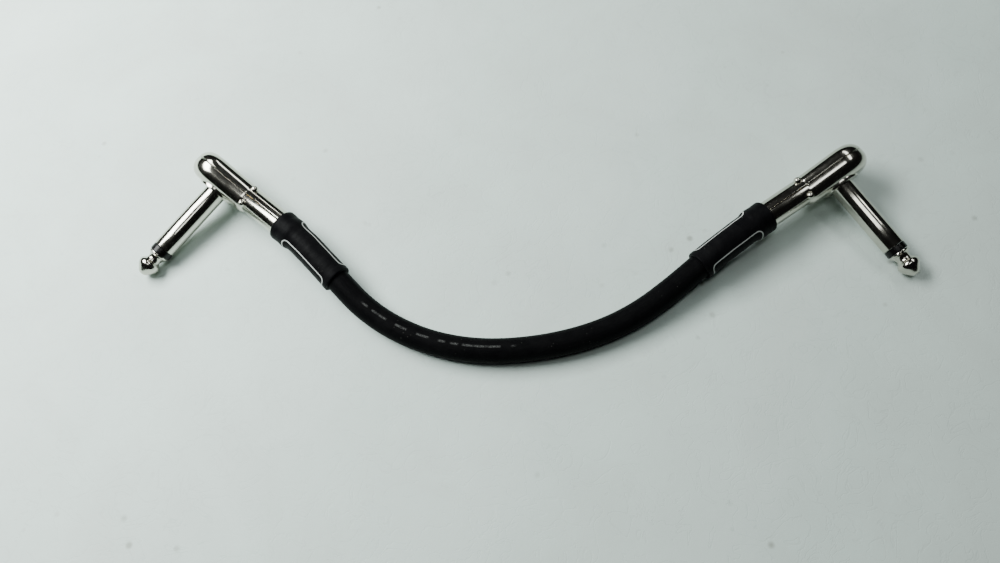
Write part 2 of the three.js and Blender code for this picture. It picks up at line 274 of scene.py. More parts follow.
def turned(name, outline, sides=64, ringed=False):
    """A piece turned on the shank's axis from (radius, y) pairs."""
    rings = []
    for radius, y in outline:
        rings.append([
            (radius * math.cos(2 * math.pi * i / sides), y, radius * math.sin(2 * math.pi * i / sides))
            for i in range(sides)])
    return lofted(name, rings, ringed)


def neck_bar(name, radius, start, end, sides=64):
    """A round bar along the neck."""
    rings = []
    for x in (start, end):
        rings.append([
            (x, radius * math.cos(2 * math.pi * i / sides), radius * math.sin(2 * math.pi * i / sides))
            for i in range(sides)])
    return lofted(name, rings)


def arc(centre, radius, start, end, steps):
    """Points on a circle from one angle to another, in degrees."""
    points = []
    for i in range(steps + 1):
        angle = math.radians(start + (end - start) * i / steps)
        points.append((centre[0] + radius * math.cos(angle), centre[1] + radius * math.sin(angle)))
    return points


def combine(base, tools, operation):
    """Joins or cuts base with each tool and removes the tools."""
    for tool in tools:
        cut = base.modifiers.new("combine", "BOOLEAN")
        cut.operation = operation
        cut.solver = "EXACT"
        cut.object = tool
    bpy.context.view_layer.update()
    settled = base.evaluated_get(bpy.context.evaluated_depsgraph_get())
    result = bpy.data.meshes.new_from_object(settled)
    base.modifiers.clear()
    base.data = result
    for tool in tools:
        bpy.data.objects.remove(tool)
    if not result.polygons:
        raise RuntimeError(f"{base.name} has nothing left after a boolean")
    return base


def plug_matrix(side):
    """Where a plug's own axes lie on the table."""
    place = PLUG_PLACES[side]
    spot = Matrix.Translation((place["x"] * MM, place["y"] * MM, AXIS_HEIGHT * MM))
    turn = Matrix.Rotation(place["heading"], 4, "Z") @ Matrix.Rotation(place["roll"], 4, "X")
    return spot @ turn


def on_plug(made, side, mirrored=False):
    """Puts a piece made in plug axes on its plug. The left plug's shells are a mirror image.

    Each vertex keeps its place in plug axes in the attribute on_plug.
    """
    if mirrored:
        made.data.transform(Matrix.Scale(-1, 4, (0, 0, 1)))
        made.data.flip_normals()
    kept = made.data.attributes.new("on_plug", "FLOAT_VECTOR", "POINT")
    kept.data.foreach_set("vector", [value for point in made.data.vertices for value in point.co])
    made.data.transform(plug_matrix(side))
    return made


def settle(made, side, node, material):
    """Gives a plug's fine piece its finish and its place in the frame."""
    made.data.materials.clear()
    made.data.materials.append(material)
    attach(made, f"{side}_end")
    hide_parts(f"{side}_{node}")


# ---- The cable's route ----


def neck_points(side, starts_at, step=0.75):
    """Points along a plug's neck, from deep inside it to just before its mouth."""
    count = max(2, round((NECK_MOUTH - starts_at) / step))
    place = plug_matrix(side)
    return [
        place @ Vector(((starts_at + (NECK_MOUTH - starts_at) * i / count) * MM, 0, 0)) / MM
        for i in range(count)]


def route_points():
    """A close line of points through the route, with the necks' directions at its ends."""
    knots = [Vector(point) for point in CABLE_ROUTE]
    tangents = [(after - before) / 2 for before, after in zip(knots, knots[2:])]
    first = plug_matrix("left").to_3x3() @ Vector((1, 0, 0)) * (knots[1] - knots[0]).length
    last = plug_matrix("right").to_3x3() @ Vector((-1, 0, 0)) * (knots[-1] - knots[-2]).length
    tangents = [first, *tangents, last]
    line = []
    for i in range(len(knots) - 1):
        span = geometry.interpolate_bezier(
            knots[i], knots[i] + tangents[i] / 3, knots[i + 1] - tangents[i + 1] / 3, knots[i + 1], 13)
        line.extend(span[:-1])
    line.append(knots[-1])
    return line


def evenly(line, step):
    """The same line with points at equal distances, and each point's distance."""
    lengths = [0.0]
    for a, b in zip(line, line[1:]):
        lengths.append(lengths[-1] + (b - a).length)
    count = max(2, round(lengths[-1] / step))
    points, at = [], 0
    for i in range(count + 1):
        wanted = lengths[-1] * i / count
        while at < len(line) - 2 and lengths[at + 1] < wanted:
            at += 1
        share = (wanted - lengths[at]) / (lengths[at + 1] - lengths[at])
        points.append(line[at].lerp(line[at + 1], min(max(share, 0), 1)))
    return points, lengths[-1] / count


def layer_line(cut, step=0.75):
    """The middle line of a cable layer that is cut back to the same place in both plugs."""
    line = [
        *neck_points("left", cut), *route_points(), *reversed(neck_points("right", cut))]
    return evenly(line, step)


def sideways(points, i):
    """The cable's own sideways and upward directions at a point."""
    ahead = points[min(i + 1, len(points) - 1)] - points[max(i - 1, 0)]
    side = ahead.cross(Vector((0, 0, 1))).normalized()
    return side, side.cross(ahead).normalized()


def swept(name, points, distances, outer, inner, sides=40, ripple=None):
    """A closed tube or bar along points. outer and inner give radii by distance.

    Each vertex keeps its place on the straightened piece in the attribute laid_straight.
    """
    rings, straight = [], []

    def ring(i, radius_at, rippled):
        centre, distance = points[i], distances[i]
        side, up = sideways(points, i)
        row = []
        for j in range(sides):
            angle = 2 * math.pi * j / sides
            across, rise = math.cos(angle), math.sin(angle)
            radius = radius_at(distance)
            if rippled and ripple:
                radius += ripple(distance, across, rise)
            row.append(centre + side * across * radius + up * rise * radius)
            straight.append((distance * MM, across * radius * MM, rise * radius * MM))
        rings.append(row)

    for i in range(len(points)):
        ring(i, outer, True)
    if inner:
        for i in reversed(range(len(points))):
            ring(i, inner, False)
    made = lofted(name, rings, ringed=bool(inner))
    kept = made.data.attributes.new("laid_straight", "FLOAT_VECTOR", "POINT")
    kept.data.foreach_set("vector", [value for place in straight for value in place])
    return smooth(made)


def ease(value, start, end):
    """Zero before start, one after end, and a soft step between them."""
    share = min(max((value - start) / (end - start), 0), 1)
    return share * share * (3 - 2 * share)


# ---- Finishes ----


def node(tree, kind, inputs=(), **settings):
    """A new shader node. Its inputs are sockets to link or plain values."""
    made = tree.nodes.new(kind)
    for key, value in settings.items():
        setattr(made, key, value)
    for key, value in dict(inputs).items():
        if isinstance(value, bpy.types.NodeSocket):
            tree.links.new(value, made.inputs[key])
        else:
            made.inputs[key].default_value = value
    return made


def sum_up(tree, operation, a, b):
    """The result of a math node on two sockets or values."""
    return node(tree, "ShaderNodeMath", {0: a, 1: b}, operation=operation).outputs[0]


def ranged(tree, value, low, high, to_low=0.0, to_high=1.0):
    """A value moved from one range to another, and held inside it."""
    return node(
        tree, "ShaderNodeMapRange",
        {"Value": value, "From Min": low, "From Max": high, "To Min": to_low, "To Max": to_high},
    ).outputs["Result"]


def blended(tree, share, a, b):
    """Colour a where share is zero, and colour b where it is one."""
    mixed = node(tree, "ShaderNodeMix", {"Factor": share}, data_type="RGBA")
    for key, value in (("A_Color", a), ("B_Color", b)):
        socket = next(s for s in mixed.inputs if s.identifier == key)
        if isinstance(value, bpy.types.NodeSocket):
            tree.links.new(value, socket)
        else:
            socket.default_value = value
    return next(s for s in mixed.outputs if s.identifier == "Result_Color")


def effect(name, inputs, outputs):
    """A new shader node group with named inputs and outputs, and its two end nodes."""
    group = bpy.data.node_groups.new(name, "ShaderNodeTree")
    for label, kind, default in inputs:
        socket = group.interface.new_socket(label, in_out="INPUT", socket_type=kind)
        if default is not None:
            socket.default_value = default
    for label, kind in outputs:
        group.interface.new_socket(label, in_out="OUTPUT", socket_type=kind)
    return group, group.nodes.new("NodeGroupInput"), group.nodes.new("NodeGroupOutput")


def hairlines_group():
    """Fine straight scratches in three directions, as a mask and a height."""
    group, given, result = effect(
        "Hairline Scratches",
        [("Place", "NodeSocketVector", None), ("Scale", "NodeSocketFloat", 900.0),
         ("Amount", "NodeSocketFloat", 0.5)],
        [("Mask", "NodeSocketFloat"), ("Height", "NodeSocketFloat")])
    marks = None
    for turn, stretch in ((0.35, 22.0), (1.5, 30.0), (2.4, 16.0)):
        turned_place = node(
            group, "ShaderNodeMapping",
            {"Vector": given.outputs["Place"], "Rotation": (turn, turn * 0.7, turn * 1.3),
             "Scale": (1.0, stretch, 1.0)})
        grain = node(
            group, "ShaderNodeTexNoise",
            {"Vector": turned_place.outputs[0], "Scale": given.outputs["Scale"], "Detail": 2.0,
             "Roughness": 0.6})
        line = ranged(group, grain.outputs["Fac"], 0.62, 0.72)
        marks = line if marks is None else sum_up(group, "MAXIMUM", marks, line)
    mask = sum_up(group, "MULTIPLY", marks, given.outputs["Amount"])
    group.links.new(mask, result.inputs["Mask"])
    group.links.new(sum_up(group, "SUBTRACT", 1.0, mask), result.inputs["Height"])
    return group


def smudges_group():
    """Soft cloudy patches, as fingers leave them on metal and plastic."""
    group, given, result = effect(
        "Handling Smudges",
        [("Place", "NodeSocketVector", None), ("Scale", "NodeSocketFloat", 180.0),
         ("Amount", "NodeSocketFloat", 0.5)],
        [("Mask", "NodeSocketFloat")])
    clouds = node(
        group, "ShaderNodeTexNoise",
        {"Vector": given.outputs["Place"], "Scale": given.outputs["Scale"], "Detail": 5.0,
         "Roughness": 0.62, "Distortion": 0.8})
    soft = ranged(group, clouds.outputs["Fac"], 0.42, 0.74)
    group.links.new(
        sum_up(group, "MULTIPLY", soft, given.outputs["Amount"]), result.inputs["Mask"])
    return group


def dust_group():
    """Small scattered specks of dust and lint."""
    group, given, result = effect(
        "Dust Specks",
        [("Place", "NodeSocketVector", None), ("Scale", "NodeSocketFloat", 700.0),
         ("Amount", "NodeSocketFloat", 0.5)],
        [("Mask", "NodeSocketFloat")])
    cells = node(
        group, "ShaderNodeTexVoronoi",
        {"Vector": given.outputs["Place"], "Scale": given.outputs["Scale"], "Randomness": 1.0})
    dots = ranged(group, cells.outputs["Distance"], 0.06, 0.16, 1.0, 0.0)
    where = node(
        group, "ShaderNodeTexNoise",
        {"Vector": given.outputs["Place"], "Scale": sum_up(group, "MULTIPLY", given.outputs["Scale"], 0.21),
         "Detail": 2.0})
    kept = ranged(group, where.outputs["Fac"], 0.56, 0.62)
    group.links.new(
        sum_up(group, "MULTIPLY", sum_up(group, "MULTIPLY", dots, kept), given.outputs["Amount"]),
        result.inputs["Mask"])
    return group


def effect_group(build):
    """The shared effect of that kind, built the first time it is asked for."""
    name = {
        hairlines_group: "Hairline Scratches", smudges_group: "Handling Smudges",
        dust_group: "Dust Specks"}[build]
    return bpy.data.node_groups.get(name) or build()


def placed_effect(tree, build, place, scale, amount):
    """The outputs of a shared effect that is laid over a finish's coordinates."""
    made = node(tree, "ShaderNodeGroup", node_tree=effect_group(build))
    tree.links.new(place, made.inputs["Place"])
    made.inputs["Scale"].default_value = scale
    made.inputs["Amount"].default_value = amount
    return made.outputs


def new_finish(name, colour, roughness, metallic=0.0, kept=None):
    """An empty finish: its tree, its surface shader and its coordinates.

    The coordinates are the ones kept in a mesh attribute, or else the object's own.
    """
    material = bpy.data.materials.new(name)
    material.use_nodes = True
    tree = material.node_tree
    surface = tree.nodes["Principled BSDF"]
    surface.inputs["Base Color"].default_value = colour
    surface.inputs["Roughness"].default_value = roughness
    surface.inputs["Metallic"].default_value = metallic
    if kept:
        place = node(tree, "ShaderNodeAttribute", attribute_name=kept).outputs["Vector"]
    else:
        place = node(tree, "ShaderNodeTexCoord").outputs["Object"]
    return material, tree, surface, place


def bumped(tree, surface, height, distance, strength=1.0):
    """Lets a height move the surface's normal."""
    bump = node(tree, "ShaderNodeBump", {"Height": height, "Distance": distance, "Strength": strength})
    tree.links.new(bump.outputs[0], surface.inputs["Normal"])


def polished_nickel(turned_marks):
    """Bright nickel plate. Turned pieces also carry the lathe's fine rings."""
    colour = tuple(bpy.context.scene.plug_sizes.nickel_colour)
    name = "turned_nickel" if turned_marks else "pressed_nickel"
    known = bpy.data.materials.get(name)
    if known:
        return known
    material, tree, surface, place = new_finish(name, colour, 0.1, 1.0, "on_plug")
    scratches = placed_effect(tree, hairlines_group, place, 420.0, 0.25)
    smudges = placed_effect(tree, smudges_group, place, 240.0, 0.5)
    dust = placed_effect(tree, dust_group, place, 700.0, 0.25)
    dulled = blended(tree, smudges["Mask"], colour, (0.45, 0.43, 0.375, 1.0))
    dusted = blended(tree, dust["Mask"], dulled, (0.36, 0.34, 0.30, 1.0))
    tree.links.new(dusted, surface.inputs["Base Color"])
    worn = sum_up(tree, "MAXIMUM", sum_up(tree, "MULTIPLY", scratches["Mask"], 0.7), smudges["Mask"])
    tree.links.new(
        ranged(tree, sum_up(tree, "MAXIMUM", worn, dust["Mask"]), 0.0, 1.0, 0.13, 0.27),
        surface.inputs["Roughness"])
    height = scratches["Height"]
    if turned_marks:
        split = node(tree, "ShaderNodeSeparateXYZ", {"Vector": place})
        along = node(
            tree, "ShaderNodeTexNoise",
            {"W": sum_up(tree, "MULTIPLY", split.outputs["Y"], 9000.0), "Scale": 1.0, "Detail": 2.0},
            noise_dimensions="1D")
        height = sum_up(tree, "ADD", height, sum_up(tree, "MULTIPLY", along.outputs["Fac"], 0.5))
    bumped(tree, surface, height, 0.0000012)
    return material


def moulded_black():
    """Glossy black moulded plastic with soft flow marks."""
    known = bpy.data.materials.get("moulded_black")
    if known:
        return known
    colour = tuple(bpy.context.scene.plug_sizes.plastic_colour)
    material, tree, surface, place = new_finish("moulded_black", colour, 0.25, 0.0, "on_plug")
    surface.inputs["Specular IOR Level"].default_value = 0.2
    smudges = placed_effect(tree, smudges_group, place, 500.0, 0.8)
    scratches = placed_effect(tree, hairlines_group, place, 600.0, 0.6)
    tree.links.new(
        blended(tree, scratches["Mask"], colour, (0.012, 0.012, 0.011, 1.0)), surface.inputs["Base Color"])
    tree.links.new(
        ranged(tree, smudges["Mask"], 0.0, 1.0, 0.22, 0.42), surface.inputs["Roughness"])
    bumped(tree, surface, scratches["Height"], 0.00001)
    return material


def straight_place(tree):
    """Coordinates along, across and above the straightened cable, in millimetres."""
    kept = node(tree, "ShaderNodeAttribute", attribute_name="laid_straight")
    scaled = node(
        tree, "ShaderNodeVectorMath", {0: kept.outputs["Vector"], 1: (1000.0, 1000.0, 1000.0)},
        operation="MULTIPLY")
    return scaled.outputs[0]


def between(tree, value, low, high, soft):
    """One where value lies between low and high, with soft edges."""
    rise = ranged(tree, value, low - soft, low + soft)
    fall = ranged(tree, value, high - soft, high + soft, 1.0, 0.0)
    return sum_up(tree, "MULTIPLY", rise, fall)


def jacket_rubber():
    """Satin black jacket with a light grain, and a row of faint worn dashes along its top."""
    sizes = bpy.context.scene.cable_sizes
    colour, mark = tuple(sizes.jacket_colour), tuple(sizes.mark_colour)
    material, tree, surface, _ = new_finish("jacket_skin", colour, 0.45)
    surface.inputs["Specular IOR Level"].default_value = 0.015
    place = straight_place(tree)
    split = node(tree, "ShaderNodeSeparateXYZ", {"Vector": place})
    along, across, rise = (split.outputs[key] for key in "XYZ")
    grain = node(
        tree, "ShaderNodeTexNoise", {"Vector": place, "Scale": 5.0, "Detail": 6.0, "Roughness": 0.65})
    lay = node(
        tree, "ShaderNodeMapping", {"Vector": place, "Scale": (0.12, 1.0, 1.0)})
    streaks = node(
        tree, "ShaderNodeTexNoise", {"Vector": lay.outputs[0], "Scale": 2.2, "Detail": 3.0})
    smudges = placed_effect(tree, smudges_group, place, 0.22, 0.9)
    scratches = placed_effect(tree, hairlines_group, place, 0.5, 0.5)
    dust = placed_effect(tree, dust_group, place, 0.9, 0.8)
    # worn dashes on the upper side
    steps = node(tree, "ShaderNodeTexNoise", {"W": along, "Scale": 0.3, "Detail": 0.0},
                 noise_dimensions="1D")
    dashes = between(tree, steps.outputs["Fac"], 0.47, 0.95, 0.05)
    row = between(tree, across, -0.28, 0.28, 0.12)
    run = between(tree, along, 32.0, 77.0, 1.0)
    top = ranged(tree, rise, 0.5, 0.8)
    wear = ranged(tree, grain.outputs["Fac"], 0.42, 0.6)
    printed = sum_up(tree, "MULTIPLY", sum_up(tree, "MULTIPLY", dashes, row),
                     sum_up(tree, "MULTIPLY", run, top))
    printed = sum_up(tree, "MULTIPLY", sum_up(tree, "MULTIPLY", printed, wear), 0.16)
    greyed = blended(tree, smudges["Mask"], colour, (0.005, 0.005, 0.0054, 1.0))
    scuffed = blended(tree, scratches["Mask"], greyed, (0.010, 0.010, 0.010, 1.0))
    dusted = blended(tree, dust["Mask"], scuffed, (0.05, 0.05, 0.045, 1.0))
    tree.links.new(blended(tree, printed, dusted, mark), surface.inputs["Base Color"])
    tree.links.new(
        ranged(tree, smudges["Mask"], 0.0, 1.0, 0.38, 0.55), surface.inputs["Roughness"])
    height = sum_up(tree, "ADD", grain.outputs["Fac"], sum_up(tree, "MULTIPLY", streaks.outputs["Fac"], 1.4))
    bumped(tree, surface, height, 0.00006, 0.7)
    return material


def shrink_tube():
    """Soft black heat-shrink with fine wrinkles and a thin pale outline on two sides."""
    known = bpy.data.materials.get("shrunk_film")
    if known:
        return known
    sizes = bpy.context.scene.cable_sizes
    colour, mark = tuple(sizes.sleeve_colour), tuple(sizes.mark_colour)
    material, tree, surface, _ = new_finish("shrunk_film", colour, 0.5)
    surface.inputs["Specular IOR Level"].default_value = 0.035
    place = straight_place(tree)
    split = node(tree, "ShaderNodeSeparateXYZ", {"Vector": place})
    along, across, rise = (split.outputs[key] for key in "XYZ")
    grain = node(
        tree, "ShaderNodeTexNoise", {"Vector": place, "Scale": 6.0, "Detail": 5.0, "Roughness": 0.6})
    pull = node(tree, "ShaderNodeMapping", {"Vector": place, "Scale": (1.0, 0.3, 0.3)})
    wrinkles = node(
        tree, "ShaderNodeTexNoise", {"Vector": pull.outputs[0], "Scale": 1.1, "Detail": 3.0})
    smudges = placed_effect(tree, smudges_group, place, 0.25, 0.9)
    dust = placed_effect(tree, dust_group, place, 1.0, 0.7)
    # a rounded rectangle on each side, measured round the sleeve
    turn = node(
        tree, "ShaderNodeMath",
        {0: rise, 1: node(tree, "ShaderNodeMath", {0: across}, operation="ABSOLUTE").outputs[0]},
        operation="ARCTAN2").outputs[0]
    round_place = sum_up(tree, "MULTIPLY", turn, sizes.sleeve_radius / MM)
    height_round = node(tree, "ShaderNodeMath", {0: round_place}, operation="ABSOLUTE")
    long_place = sum_up(tree, "SUBTRACT", along, SLEEVE_LABEL_MIDDLE)
    middle = node(tree, "ShaderNodeMath", {0: long_place}, operation="ABSOLUTE")
    corner_x = sum_up(tree, "MAXIMUM", sum_up(tree, "SUBTRACT", middle.outputs[0], 7.3), 0.0)
    corner_y = sum_up(tree, "MAXIMUM", sum_up(tree, "SUBTRACT", height_round.outputs[0], 1.7), 0.0)
    reach = node(
        tree, "ShaderNodeMath",
        {0: sum_up(tree, "ADD", sum_up(tree, "MULTIPLY", corner_x, corner_x),
                   sum_up(tree, "MULTIPLY", corner_y, corner_y))}, operation="SQRT")
    outline = between(tree, reach.outputs[0], 1.26, 1.58, 0.06)
    worn = sum_up(tree, "MULTIPLY", outline, ranged(tree, grain.outputs["Fac"], 0.3, 0.5, 0.7, 1.0))
    greyed = blended(tree, smudges["Mask"], colour, (0.006, 0.006, 0.0066, 1.0))
    dusted = blended(tree, dust["Mask"], greyed, (0.05, 0.05, 0.045, 1.0))
    tree.links.new(blended(tree, worn, dusted, mark), surface.inputs["Base Color"])
    tree.links.new(
        ranged(tree, smudges["Mask"], 0.0, 1.0, 0.42, 0.6), surface.inputs["Roughness"])
    height = sum_up(
        tree, "ADD", sum_up(tree, "MULTIPLY", grain.outputs["Fac"], 0.4), wrinkles.outputs["Fac"])
    bumped(tree, surface, height, 0.00012, 0.8)
    return material


def inner_finish(name, colour, second, roughness, metallic, scale, bump_distance):
    """A finish for the parts inside: a mottled colour, uneven gloss and a fine grain."""
    known = bpy.data.materials.get(name)
    if known:
        return known
    material, tree, surface, place = new_finish(name, colour, roughness, metallic)
    mottle = node(
        tree, "ShaderNodeTexNoise", {"Vector": place, "Scale": scale, "Detail": 5.0, "Roughness": 0.6})
    smudges = placed_effect(tree, smudges_group, place, scale * 0.4, 0.8)
    scratches = placed_effect(tree, hairlines_group, place, scale * 0.5, 0.6)
    tree.links.new(
        blended(tree, ranged(tree, mottle.outputs["Fac"], 0.4, 0.65), colour, second),
        surface.inputs["Base Color"])
    tree.links.new(
        ranged(tree, sum_up(tree, "MAXIMUM", smudges["Mask"], scratches["Mask"]), 0.0, 1.0,
               roughness * 0.8, min(roughness * 1.7, 1.0)), surface.inputs["Roughness"])
    height = sum_up(tree, "ADD", mottle.outputs["Fac"], scratches["Height"])
    bumped(tree, surface, height, bump_distance)
    return material


def white_plastic():
    return inner_finish(
        "natural_white", (0.74, 0.72, 0.64, 1), (0.66, 0.63, 0.54, 1), 0.42, 0.0, 500.0, 0.00002)


def stamped_brass():
    return inner_finish(
        "stamped_brass", (0.72, 0.53, 0.22, 1), (0.55, 0.37, 0.14, 1), 0.26, 1.0, 600.0, 0.00001)


def soft_solder():
    return inner_finish(
        "soft_solder", (0.62, 0.62, 0.61, 1), (0.42, 0.42, 0.41, 1), 0.24, 1.0, 900.0, 0.00003)


def copper_strands():
    """Bare copper laid in fine crossing strands, with painted shade in the gaps between them."""
    known = bpy.data.materials.get("copper_strands")
    if known:
        return known
    colour = (0.72, 0.36, 0.19, 1)
    material, tree, surface, place = new_finish("copper_strands", colour, 0.3, 1.0)
    weave = None
    for turn in (0.7, -0.7):
        laid = node(tree, "ShaderNodeMapping", {"Vector": place, "Rotation": (0.0, 0.0, turn)})
        strand = node(
            tree, "ShaderNodeTexWave", {"Vector": laid.outputs[0], "Scale": 900.0, "Distortion": 0.4})
        weave = strand.outputs["Fac"] if weave is None else sum_up(
            tree, "MAXIMUM", weave, strand.outputs["Fac"])
    # painted shade: the dark copper between the strands stands in for shade in the gaps
    tree.links.new(blended(tree, weave, (0.34, 0.15, 0.08, 1), colour), surface.inputs["Base Color"])
    tree.links.new(ranged(tree, weave, 0.0, 1.0, 0.5, 0.24), surface.inputs["Roughness"])
    bumped(tree, surface, weave, 0.00006)
    return material


# ---- Operators: one for each piece or group of like pieces, and one for the stage ----


class SetTable(bpy.types.Operator):
    """Sets out the table, the lamps and the camera."""

    bl_idname = "patch_cable.set_table"
    bl_label = "Set table, lamps and camera"

    def execute(self, context):
        stage = context.scene.stage_settings
        lens = bpy.data.cameras.new("camera")
        lens.lens = stage.focal_length
        lens.sensor_width = 36.0
        camera = bpy.data.objects.new("camera", lens)
        spot = Vector(CAMERA_SPOT)
        back = (spot - Vector(CAMERA_AIM)).normalized()
        right = Vector(CAMERA_UP).cross(back).normalized()
        turn = Matrix((right, back.cross(right), back)).transposed()
        camera.matrix_world = Matrix.Translation(spot) @ turn.to_4x4()
        context.collection.objects.link(camera)
        context.scene.camera = camera

        half = TABLE_HALF / MM
        table = mesh_object(
            "table_top", [(-half, -half, 0), (half, -half, 0), (half, half, 0), (-half, half, 0)],
            [(0, 1, 2, 3)])
        table.data.materials.append(table_top())

        room = context.scene.world or bpy.data.worlds.new("room")
        context.scene.world = room
        room.use_nodes = True
        room.node_tree.nodes["Background"].inputs["Color"].default_value = (*stage.room_colour, 1.0)
        for name, place, aim, size, share, degrees in LAMPS:
            lamp(name, place, aim, size, stage.key_power * share, math.radians(degrees))
        return {"FINISHED"}


def lamp(name, place, aim, size, power, turn):
    """A flat rectangular lamp that faces its aim, turned about its own axis."""
    light = bpy.data.lights.new(name, "AREA")
    light.shape = "RECTANGLE"
    light.size, light.size_y = size
    light.energy = power
    light.color = LAMP_COLOUR
    made = bpy.data.objects.new(name, light)
    towards = (Vector(aim) - Vector(place)).to_track_quat("-Z", "Y").to_matrix().to_4x4()
    made.matrix_world = Matrix.Translation(place) @ towards @ Matrix.Rotation(turn, 4, "Z")
    bpy.context.collection.objects.link(made)


def table_top():
    """The pale table, with faint creases, stains and specks; the creases carry painted shade."""
    colour = tuple(bpy.context.scene.stage_settings.table_colour)
    material, tree, surface, place = new_finish("table_top", colour, 0.6)
    mottle = node(
        tree, "ShaderNodeTexNoise", {"Vector": place, "Scale": 30.0, "Detail": 8.0, "Roughness": 0.62})
    crinkle = node(
        tree, "ShaderNodeTexNoise",
        {"Vector": place, "Scale": 95.0, "Detail": 3.0, "Roughness": 0.5, "Distortion": 1.6})
    creases = between(tree, crinkle.outputs["Fac"], 0.495, 0.505, 0.012)
    specks = placed_effect(tree, dust_group, place, 130.0, 0.55)
    stains = placed_effect(tree, smudges_group, place, 22.0, 0.5)
    darker = tuple(value * 0.93 for value in colour[:3]) + (1.0,)
    worn = blended(tree, ranged(tree, mottle.outputs["Fac"], 0.35, 0.7), colour, darker)
    stained = blended(tree, stains["Mask"], worn, (0.56, 0.63, 0.59, 1.0))
    # painted shade: the crease lines are darkened in colour, as if shade fell into them
    crease_shaded = blended(
        tree, sum_up(tree, "MULTIPLY", creases, ranged(tree, mottle.outputs["Fac"], 0.45, 0.6, 0.0, 0.35)),
        stained, (0.48, 0.55, 0.52, 1.0))
    tree.links.new(
        blended(tree, specks["Mask"], crease_shaded, (0.20, 0.20, 0.16, 1.0)), surface.inputs["Base Color"])
    height = sum_up(
        tree, "SUBTRACT", mottle.outputs["Fac"], sum_up(tree, "MULTIPLY", creases, 0.15))
    bumped(tree, surface, height, 0.0006, 0.5)
    return material


class LayCable(bpy.types.Operator):
    """Lays the cable's jacket, shield, insulation and core along the route."""

    bl_idname = "patch_cable.lay_cable"
    bl_label = "Lay cable"

    def execute(self, context):
        sizes = context.scene.cable_sizes
        full, bore = sizes.jacket_radius / MM, sizes.jacket_bore / MM
        crimped = sizes.crimped_radius / MM
        points, step = layer_line(JACKET_CUT)
        inside = NECK_MOUTH - JACKET_CUT
        distances = [i * step - inside for i in range(len(points))]
        free = distances[-1] - inside

        def jacket_at(distance):
            inset = min(distance, free - distance)
            return crimped + (full - crimped) * ease(inset, 0.0, 0.8)

        jacket = swept("cable_jacket_fine", points, distances, jacket_at, lambda distance: bore, 44)
        self.bend(jacket, "cable_jacket", "jacket_rubber", jacket_rubber())

        finishes = {"copper_wire": copper_strands(), "white_plastic": white_plastic()}
        for node_name, slot_name, cut, outer, inner in INNER_LAYERS:
            line, gap = layer_line(cut, 1.5)
            reach = [i * gap for i in range(len(line))]
            layer = swept(
                f"{node_name}_fine", line, reach, lambda distance, r=outer: r,
                (lambda distance, r=inner: r) if inner else None, 16)
            self.bend(layer, node_name, slot_name, finishes[slot_name])
        context.scene["cable_path"] = [value * MM for point in points for value in point]
        return {"FINISHED"}

    def bend(self, made, node_name, slot_name, finish):
        made.data.materials.append(finish)
        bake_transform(made)
        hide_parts(node_name)


class ShrinkSleeves(bpy.types.Operator):
    """Shrinks a sleeve over each neck and the first stretch of cable."""

    bl_idname = "patch_cable.shrink_sleeves"
    bl_label = "Shrink sleeves"

    def execute(self, context):
        sizes = context.scene.cable_sizes
        collar, body = sizes.collar_radius / MM, sizes.sleeve_radius / MM
        start, end = SLEEVE_START, SLEEVE_END

        def outer(distance):
            radius = collar + (body - collar) * ease(distance, 0.9, 3.4)
            radius += 0.12 * ease(distance, end - 2.4, end - 1.2)
            radius -= 0.10 * math.exp(-((distance + 1.2) / 0.9) ** 2)
            edge = min(distance - start, end - distance)
            return radius - 0.34 * (1 - math.sqrt(max(0.0, 1 - (1 - min(edge / 0.34, 1)) ** 2)))

        def inner(distance):
            on_neck = context.scene.plug_sizes.neck_radius / MM + SLEEVE_FIT
            on_jacket = sizes.jacket_radius / MM + SLEEVE_FIT
            return on_neck + (on_jacket - on_neck) * ease(distance, 0.4, 1.8)

        def ripple(distance, across, rise):
            slow = noise.noise(Vector((distance * 0.35, across * 1.1, rise * 1.1)))
            fast = noise.noise(Vector((distance * 1.3, across * 1.6, rise * 1.6 + 7.0)))
            return 0.07 * slow + 0.03 * fast

        for side in ("left", "right"):
            line = [*neck_points(side, NECK_MOUTH + start, 0.3)]
            route = route_points()
            line += route if side == "left" else list(reversed(route))
            points, step = evenly(line, 0.3)
            count = round((end - start) / step) + 1
            points = points[:count]
            distances = [start + i * step for i in range(count)]
            distances[-1] = end
            points, distances = self.edged(points, distances, start, end)
            sleeve = swept(f"{side}_sleeve_fine", points, distances, outer, inner, 56, ripple)
            settle(sleeve, side, "heat_shrink", shrink_tube())
        return {"FINISHED"}

    def edged(self, points, distances, start, end):
        """Adds close rings at both ends, so that the edges come out round."""
        extra = [0.0, 0.03, 0.09, 0.18]
        near = [points[0].lerp(points[1], d / (distances[1] - distances[0])) for d in extra]
        gap = distances[-1] - distances[-2]
        far = [points[-1].lerp(points[-2], d / gap) for d in extra]
        return (
            [*near, *points[1:-1], *reversed(far)],
            [*[start + d for d in extra], *distances[1:-1], *[end - d for d in reversed(extra)]])


def head_outline():
    """The middle of the bull-nose edge round the head, as (x, z) points with their normals."""
    taper = math.degrees(math.asin(
        (HEAD_INSET_RADIUS - HEAD_NOSE_INSET) / (HEAD_NOSE_CENTRE - HEAD_END_CENTRE)))
    groups = (
        ((HEAD_END_CENTRE, 0.0), HEAD_INSET_RADIUS, 90 - taper, 270 + taper, 48),
        ((HEAD_NOSE_CENTRE, 0.0), HEAD_NOSE_INSET, -90 + taper, 90 - taper, 20))
    outline = []
    for centre, radius, start, end, steps in groups:
        rim = arc(centre, radius, start, end, steps)
        way = arc((0.0, 0.0), 1.0, start, end, steps)
        outline += list(zip(rim, way))
    return outline


def head_block(name, section):
    """A solid head from a section of (growth from the outline's middle, y) pairs."""
    outline = head_outline()
    rings = [[(x + nx * grow, y, z + nz * grow) for (x, z), (nx, nz) in outline] for grow, y in section]
    return lofted(name, rings)


